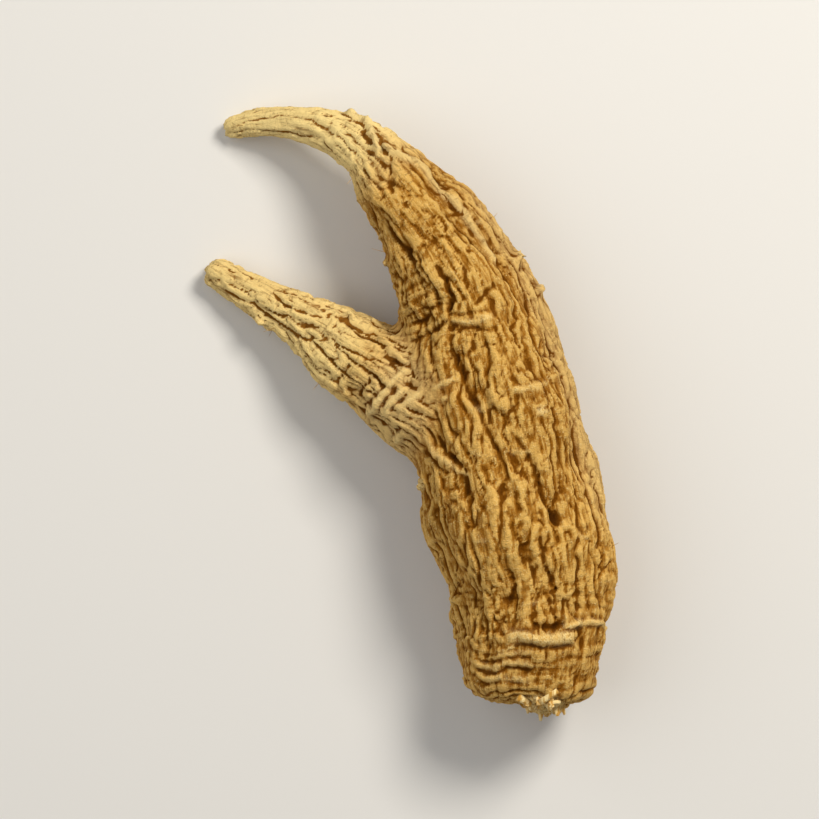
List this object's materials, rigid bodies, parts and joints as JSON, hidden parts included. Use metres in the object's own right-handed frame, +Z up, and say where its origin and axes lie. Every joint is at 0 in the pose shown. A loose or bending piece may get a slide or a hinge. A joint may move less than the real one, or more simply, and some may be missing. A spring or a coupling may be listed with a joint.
{
  "type": "dried ginseng root",
  "caption": "Dried ginseng root lying on its belly: a stout furrowed body with a broken neck at the crown, a side root and a tail that curls away.",
  "frame": {"origin": "middle of the bounding box, on the surface that the root lies on", "axes": "+Z up from the surface, +Y from the crown along the body to the tail, +X to the side that the tail and the side root turn away from"},
  "size_m": [0.039, 0.0574, 0.0157],
  "materials": {
    "dried_root_skin": "matt, dusty, furrowed dried bark: pale tan ridges and darker brown furrows, no gloss"
  },
  "bodies": {
    "root": {"ginseng_root": "dried_root_skin"}
  },
  "joints": []
}
